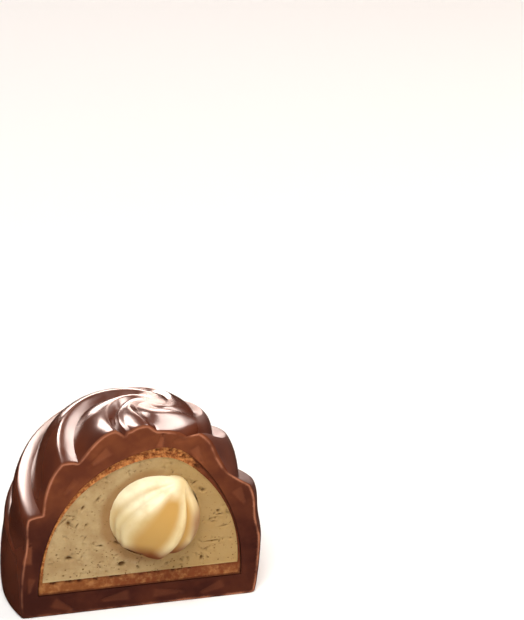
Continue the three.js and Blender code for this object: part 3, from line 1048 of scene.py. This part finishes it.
@dataclass
class WaferLayer:
    """Thin baked layer between shell and cream, thick on the floor and under the top."""

    outside: Dome
    wall: float = 0.42
    floor: float = 1.75
    top: float = 1.35
    inner_lean: float = 2.0
    spacing: float = 0.14
    pits: int = 90
    edge_pits: int = 34

    def inside(self) -> Dome:
        """The hollow that the cream fills."""
        return replace(self.outside.grown(-self.wall, -self.floor, -self.top), lean=self.inner_lean)

    def relief(self, x: Array, z: Array) -> Array:
        """Depth of the wafer's broken face: porous at the top, smooth low on the left."""
        points = np.stack([x, z, np.zeros(len(x))], -1)
        porous = ease((z - 15.0) / 4.0) + 0.35 * ease((4.6 - z) / 0.8) * ease((x + 8.0) / 8.0)
        rough = 0.16 * noise_at(points, 0.55, 5.0) + 0.12 * noise_at(points, 0.28, 6.0)
        depth = 0.12 + rough * porous
        draw = np.random.default_rng(11)
        for _ in range(self.pits):
            along = draw.uniform(-0.62, 0.62)
            px, pz = self.outside.slice_loop(0.0, np.array([along, 1.0]), 1)[0]
            px, pz = px * draw.uniform(0.9, 1.0), pz - draw.uniform(0.15, 1.2)
            deep, apart = draw.uniform(0.15, 0.4), np.hypot(x - px, z - pz)
            depth = depth + deep * bell(apart, draw.uniform(0.12, 0.26))
        return np.clip(depth + self.edge_depth(x, z), 0.0, 0.7)

    def edge_depth(self, x: Array, z: Array) -> Array:
        """Depth of the air holes where the wafer's floor meets the cream."""
        draw = np.random.default_rng(12)
        depth = np.zeros(len(x))
        edge = self.inside().floor
        for _ in range(self.edge_pits):
            px, pz = draw.triangular(-12.0, -5.0, 11.0), edge - draw.uniform(-0.05, 0.4)
            size = draw.uniform(0.08, 0.2)
            apart = np.hypot((x - px) / draw.uniform(1.0, 2.2), z - pz)
            depth = np.maximum(depth, draw.uniform(0.2, 0.5) * bell(apart, size))
        return depth

    def build(self, seat: Seat) -> bpy.types.Object:
        """Builds the wafer, dresses it and puts it in its place."""
        arch = np.linspace(-1.0, 1.0, 241)
        outer = grid_patch(self.outside.back(arch, 80, 26))
        inner = grid_patch(self.inside().back(arch, 80, 26))
        rim = self.outside.slice_loop(0.0, arch, 80)
        hole = self.inside().slice_loop(0.0, arch, 80)
        face = face_patch(rim, [hole], self.spacing, self.relief, seed=5)
        piece = make_piece("wafer_crumb", [outer, face, inner], seat, 50.0)
        piece.data.materials.append(WaferFinish().build())
        flat = seat.local(read_points(piece.data))[:, [0, 2]]
        across, height = flat[:, 0], flat[:, 1]
        low = 1.0 - ease((height - self.inside().floor - 0.4) / 1.2)
        # Darker reddish brown towards the right.
        smear = ease((across - 5.0) / 2.5)
        right = ease((across + 9.0) / 8.0)
        # Painted shade in the air holes at the floor's edge, and a painted shadow line along the gap to the
        # shell, low down and on the right.
        pit = ease((self.edge_depth(across, height) - 0.08) / 0.2)
        wander = 0.10 + 0.12 * noise_at(np.stack([across, height, 0.0 * across], -1), 1.1, 9.0)
        gap_shadow = 1.0 - ease((distance_to_loop(flat, rim) - wander) / 0.15)
        below, beside = ease((self.outside.floor + 0.4 - height) / 0.2), ease((across - 4.0) / 3.0)
        pit = np.maximum(pit, 0.85 * gap_shadow * np.maximum(below, beside))
        write_shares(piece.data, floor=low, smear=smear, right=right, pit=pit)
        register(piece, Layer.WAFER)
        return piece


@dataclass
class Hazelnut:
    """A whole blanched kernel: a point, sharp ridges, narrow furrows and one broad hollow."""

    radius: float = 5.82
    tip: float = 0.75
    tip_spread: float = 13.0
    flat: float = 0.95
    place: Place = (1.45, 1.0, 12.8)
    axis: Place = (0.50, -0.29, 0.81)
    segments: int = 240
    rings: int = 150
    soften: float = 1.6
    foot_bend: float = 14.0
    # Direction round the axis in degrees, and how far the kernel stands out there.
    lie: tuple[tuple[float, float], ...] = (
        (-180, -0.12), (-165, 0.02), (-150, -0.20), (-135, 0.05), (-118, -0.04), (-100, 0.07), (-84, 0.12),
        (-72, -0.04), (-66, -0.22), (-60, 0.00), (-56, 0.04), (-51, -0.17), (-46, 0.12), (-42, 0.20),
        (-36, -0.08), (-24, -0.42), (-10, -0.52), (3, -0.55), (12, -0.28), (17, 0.16), (22, 0.18),
        (28, -0.20), (35, -0.52), (42, -0.42), (50, 0.02), (62, 0.14), (82, 0.04), (96, -0.22),
        (112, 0.05), (130, -0.06), (144, -0.30), (160, 0.04),
    )

    def lie_at(self, around: Array, from_foot: Array) -> Array:
        """How far ridges stand out, or furrows in, at directions and angles from the foot."""
        at = np.array([a for a, _ in self.lie], dtype=float)
        stand = np.array([h for _, h in self.lie])
        fine = np.arange(-180.0, 180.0, 0.5)
        shape = np.interp(fine, np.append(at, 180.0), np.append(stand, stand[0]))
        kernel = bell(np.arange(-12.0, 12.5, 0.5), self.soften * 2.0)
        wrapped = np.concatenate([shape[-24:], shape, shape[:24]])
        shape = np.convolve(wrapped, kernel / kernel.sum(), mode="valid")
        bent = around - self.foot_bend * ease((80.0 - from_foot) / 35.0)
        share = ease((176.0 - from_foot) / 34.0) * ease((from_foot - 8.0) / 60.0)
        return np.interp(turn_between(bent, 0.0), fine, shape) * share

    def build(self, seat: Seat) -> bpy.types.Object:
        """Builds the kernel, dresses it and puts it in its place."""
        deselect_all()
        bpy.ops.mesh.primitive_uv_sphere_add(segments=self.segments, ring_count=self.rings, radius=1.0)
        piece = bpy.context.object
        piece.name = "hazelnut_kernel"
        mesh = piece.data
        points = read_points(mesh)
        from_foot = 180.0 - np.degrees(np.arccos(np.clip(points[:, 2], -1.0, 1.0)))
        around = np.degrees(np.arctan2(points[:, 1], points[:, 0]))
        axis = Vector(self.axis).normalized()
        side = (Vector((0.0, -1.0, 0.0)) + axis * axis.y).normalized()
        other = axis.cross(side)
        lie = self.lie_at(around, from_foot)
        tip = self.tip * bell(180.0 - from_foot, self.tip_spread)
        radius = self.radius + tip + lie
        spoke = np.outer(np.cos(np.radians(around)), side) + np.outer(np.sin(np.radians(around)), other)
        shaped = np.array(self.place) + spoke * (radius * np.sin(np.radians(from_foot)))[:, None]
        shaped -= np.outer(radius * self.flat * np.cos(np.radians(from_foot)), axis)
        write_points(mesh, seat.place(shaped))
        bpy.ops.object.shade_smooth_by_angle(angle=math.radians(60.0))
        beside, above = shaped[:, 0] - self.place[0], shaped[:, 2] - self.place[2]
        # Painted shade low down and on the right side, and painted light on the top, mostly on its left.
        low = ease((-1.5 - above) / 3.0)
        right = ease((beside - 3.2) / 1.3) * ease((3.0 - above) / 3.0)
        crown = ease((above - 1.5) / 2.5) * (1.0 - 0.9 * ease((beside - 1.6) / 1.4))
        furrow = np.clip(-lie / 0.45, 0.0, 1.0)
        write_shares(mesh, furrow=furrow, under=np.maximum(low, 0.7 * right), crown=crown)
        mesh.materials.append(NutFinish().build())
        register(piece, Layer.NUT)
        return piece


@dataclass
class CreamFilling:
    """Nut cream with air pits, and the socket in which the kernel sits."""

    outside: Dome
    nut: Hazelnut
    gap: float = -0.16
    spacing: float = 0.12
    seed: int = 21
    pit_count: int = 190
    # Place, half length, half width, turn and depth of the large pits.
    large: tuple[tuple[float, ...], ...] = (
        (-2.5, 6.3, 0.46, 0.3, 8.0, 0.6),
        (9.5, 12.5, 0.2, 0.16, 0.0, 0.4),
        (-5.2, 9.2, 0.28, 0.14, 5.0, 0.4),
    )
    # Places where small pits crowd.
    clusters: tuple[tuple[float, float], ...] = (
        (-10.6, 8.4), (-8.6, 7.9), (-7.0, 7.4), (-5.6, 6.6), (-4.2, 5.9), (-8.0, 6.2), (-6.0, 9.2),
        (-1.0, 5.7), (2.5, 5.6), (5.6, 6.1), (8.4, 6.9), (9.8, 8.2), (10.3, 9.8), (9.4, 11.8),
        (-9.4, 13.0), (-8.4, 15.0), (3.6, 19.3), (5.9, 17.4), (-0.8, 20.0), (-5.0, 18.6),
    )
    # Place, half length and turn of the thin cracks.
    cracks: tuple[tuple[float, float, float, float], ...] = (
        (-9.9, 13.3, 0.85, 42), (-9.3, 13.9, 0.5, -12), (-9.1, 12.5, 0.7, -38), (-8.3, 12.4, 0.5, 62),
        (-5.4, 9.3, 0.4, 4), (9.7, 12.0, 0.5, 2), (8.6, 11.5, 0.25, 25), (10.4, 10.3, 0.5, 8),
        (9.0, 8.3, 1.1, 3), (8.2, 7.3, 0.5, 28), (-7.2, 10.6, 0.35, 70), (-3.2, 7.7, 0.3, 20),
    )

    def pits(self) -> list[tuple[float, ...]]:
        """Place, half length, half width, turn and depth of each air pit and crack."""
        draw = np.random.default_rng(self.seed)
        found = list(self.large)
        found += [(x, z, length, 0.085, turn, 0.3) for x, z, length, turn in self.cracks]
        while len(found) < self.pit_count:
            if draw.random() < 0.75:
                near = self.clusters[draw.integers(len(self.clusters))]
                x, z = near[0] + draw.normal(0, 0.8), near[1] + draw.normal(0, 0.6)
            else:
                x, z = draw.uniform(-12.0, 12.0), draw.uniform(5.2, 20.5)
            size = float(np.clip(draw.lognormal(-2.25, 0.4), 0.07, 0.24))
            stretch, turn = draw.uniform(1.0, 2.4), draw.uniform(0.0, 180.0)
            found.append((x, z, size * stretch, size, turn, size * draw.uniform(1.2, 2.2)))
        return found

    def relief(self, x: Array, z: Array) -> Array:
        """Depth of the cream's cut face: soft waves, scraped patches and pits."""
        points = np.stack([x, z, np.zeros(len(x))], -1)
        depth = 0.08 + 0.07 * noise_at(points, 2.2, 7.0) + 0.04 * noise_at(points, 0.5, 8.0)
        return np.maximum(depth, 0.0) + self.pit_depth(x, z)

    def pit_depth(self, x: Array, z: Array) -> Array:
        """Depth of the air pits and cracks alone."""
        depth = np.zeros(len(x))
        for px, pz, length, width, turn, deep in self.pits():
            near = np.hypot(x - px, z - pz) < 3.0 * length
            beside_x, beside_z = x[near] - px, z[near] - pz
            cosine, sine = math.cos(math.radians(turn)), math.sin(math.radians(turn))
            along = (beside_x * cosine + beside_z * sine) / length
            across = (beside_z * cosine - beside_x * sine) / width
            depth[near] = np.maximum(depth[near], deep * bell(np.hypot(along, across), 1.0))
        return depth

    def socket(self, steps: int, rows: int) -> Array:
        """Rows of points over the kernel's socket, from the cut face to its back."""
        x, y, z = self.nut.place
        reach = self.nut.radius + self.gap
        around = np.linspace(0.0, 2 * np.pi, steps, endpoint=False)
        made = []
        for polar in np.linspace(math.acos(y / reach), math.pi - 0.02, rows):
            ring = reach * math.sin(polar)
            depth = max(y - reach * math.cos(polar), 0.0)
            row = [x + ring * np.cos(around), np.full(steps, depth), z + ring * np.sin(around)]
            made.append(np.stack(row, -1))
        made[0][:, 1] = 0.0
        return np.array(made)

    def build(self, seat: Seat) -> bpy.types.Object:
        """Builds the cream, dresses it and puts it in its place."""
        arch = np.linspace(-1.0, 1.0, 221)
        outer = grid_patch(self.outside.back(arch, 80, 26))
        rim = self.outside.slice_loop(0.0, arch, 80)
        socket = self.socket(200, 30)
        hole = socket[0][:, [0, 2]]
        face = face_patch(rim, [hole], self.spacing, self.relief, seed=7)
        piece = make_piece("nut_cream", [outer, face, grid_patch(socket)], seat, 60.0)
        piece.data.materials.append(CreamFinish().build())
        points = seat.local(read_points(piece.data))
        x, _, z = self.nut.place
        # Painted shadow ring round the kernel, strongest on its left, and painted shade in the deep pits.
        away = np.hypot(points[:, 0] - x + 0.5, points[:, 2] - z) - self.nut.radius
        ring = 0.75 * (1.0 - ease((away - 0.1) / 0.9)) * ease((x + 3.0 - points[:, 0]) / 4.0)
        pit = ease((self.pit_depth(points[:, 0], points[:, 2]) - 0.12) / 0.25)
        airy = 0.45 + 0.55 * ease((11.5 - points[:, 2]) / 5.0)
        warm = ease((points[:, 0] + 3.0) / 9.0)
        write_shares(piece.data, ring=ring, pit=pit, airy=airy, warm=warm)
        register(piece, Layer.CREAM)
        return piece


# ---- Studio ----------------------------------------------------------------------------------


class Shine(Enum):
    """What a lamp adds to the picture."""

    BODY = "light and shade"
    GLOSS = "reflections"


@dataclass(frozen=True)
class SoftLight:
    """A soft rectangular lamp that looks at the praline."""

    name: str
    place: Place
    size: tuple[float, float]
    power: float
    colour: Colour
    shine: Shine
    aim: Place = (0.0, 0.0, 0.012)

    def build(self) -> bpy.types.Object:
        """Makes the lamp."""
        data = bpy.data.lights.new(self.name, "AREA")
        data.shape = "RECTANGLE"
        data.size, data.size_y = self.size
        data.energy = self.power
        data.color = self.colour
        lamp = bpy.data.objects.new(self.name, data)
        bpy.context.collection.objects.link(lamp)
        lamp.location = self.place
        direction = Vector(self.aim) - Vector(self.place)
        lamp.rotation_euler = direction.to_track_quat("-Z", "Y").to_euler()
        lamp.visible_glossy = self.shine is not Shine.BODY
        lamp.visible_diffuse = self.shine is not Shine.GLOSS
        return lamp


@dataclass(frozen=True)
class Studio:
    """Pale floor, soft lamps and the camera at the photograph's viewing angle."""

    camera_place: Place = (-61.318, -222.138, 148.254)
    camera_turn: Place = (65.088, -3.339, -17.066)
    focal_pixels: float = 2176.9
    frame_height: int = 620
    sensor: float = 36.0
    background: float = 0.32
    lights: tuple[SoftLight, ...] = field(
        default=(
            # Lamps for light and shade, then the cards that only the gloss shows.
            SoftLight("key", (-0.14, -0.34, 0.56), (0.30, 0.30), 4.2, (1.0, 0.975, 0.94), Shine.BODY),
            SoftLight("warm fill", (0.46, -0.06, 0.30), (0.30, 0.30), 1.8, (1.0, 0.80, 0.66), Shine.BODY),
            SoftLight("front card", (-0.34, -0.44, 0.24), (0.14, 0.3), 8.6, (1.0, 0.91, 0.84), Shine.GLOSS),
            SoftLight("over card", (-0.17, 0.31, 0.48), (0.17, 0.30), 7.4, (1.0, 0.82, 0.74), Shine.GLOSS),
            SoftLight("right card", (0.30, 0.18, 0.49), (0.21, 0.30), 4.8, (1.0, 0.86, 0.79), Shine.GLOSS),
            SoftLight("top card", (0.16, 0.52, 0.30), (0.26, 0.16), 1.9, (1.0, 0.76, 0.66), Shine.GLOSS),
            SoftLight("back card", (0.05, 0.61, 0.10), (0.34, 0.14), 3.2, (1.0, 0.79, 0.71), Shine.GLOSS),
        )
    )

    def build(self, seat: Seat) -> None:
        """Makes the floor, the light and the camera."""
        self.build_floor(seat)
        self.build_world()
        for light in self.lights:
            light.build()
        self.build_camera(seat)

    def build_floor(self, seat: Seat) -> None:
        """Large plain flat floor under the praline."""
        deselect_all()
        bpy.ops.mesh.primitive_plane_add(size=1.0, location=(0.0, 0.0, seat.floor_z))
        floor = bpy.context.object
        floor.name = "floor"
        bpy.ops.transform.resize(value=(6.0, 6.0, 1.0))
        bpy.ops.object.transform_apply(location=True, rotation=True, scale=True)
        bpy.ops.object.mode_set(mode="EDIT")
        bpy.ops.mesh.select_all(action="SELECT")
        bpy.ops.mesh.subdivide(number_cuts=6)
        bpy.ops.object.mode_set(mode="OBJECT")
        floor.data.materials.append(FloorFinish().build())
        floor.visible_glossy = False

    def build_world(self) -> None:
        """Even pale surroundings."""
        world = bpy.data.worlds.new("surroundings")
        world.use_nodes = True
        world.node_tree.nodes["Background"].inputs["Color"].default_value = (1.0, 1.0, 1.0, 1.0)
        world.node_tree.nodes["Background"].inputs["Strength"].default_value = self.background
        world.cycles_visibility.glossy = False
        bpy.context.scene.world = world
        bpy.context.scene.view_settings.view_transform = "Standard"

    def build_camera(self, seat: Seat) -> None:
        """Camera that sees the praline where the photograph has it in its frame."""
        data = bpy.data.cameras.new("camera")
        data.sensor_width = self.sensor
        data.lens = self.focal_pixels * self.sensor / self.frame_height
        data.clip_start, data.clip_end = 0.01, 20.0
        camera = bpy.data.objects.new("camera", data)
        bpy.context.collection.objects.link(camera)
        camera.location = seat.place(np.array(self.camera_place))
        camera.rotation_euler = [math.radians(a) for a in self.camera_turn]
        bpy.context.scene.camera = camera


def main() -> None:
    """Builds the praline layer by layer, then its studio."""
    logging.basicConfig(level=logging.INFO, format="%(name)s: %(message)s")
    seat = Seat.from_frame()
    shell = ChocolateShell()
    wafer = WaferLayer(shell.cavity.grown(-0.12, -0.14, -0.06))
    nut = Hazelnut()
    cream = CreamFilling(wafer.inside().grown(-0.03, -0.03, -0.03), nut)
    for part in (shell, wafer, cream, nut):
        part.build(seat)
    Studio().build(seat)


if __name__ == "__main__":
    main()
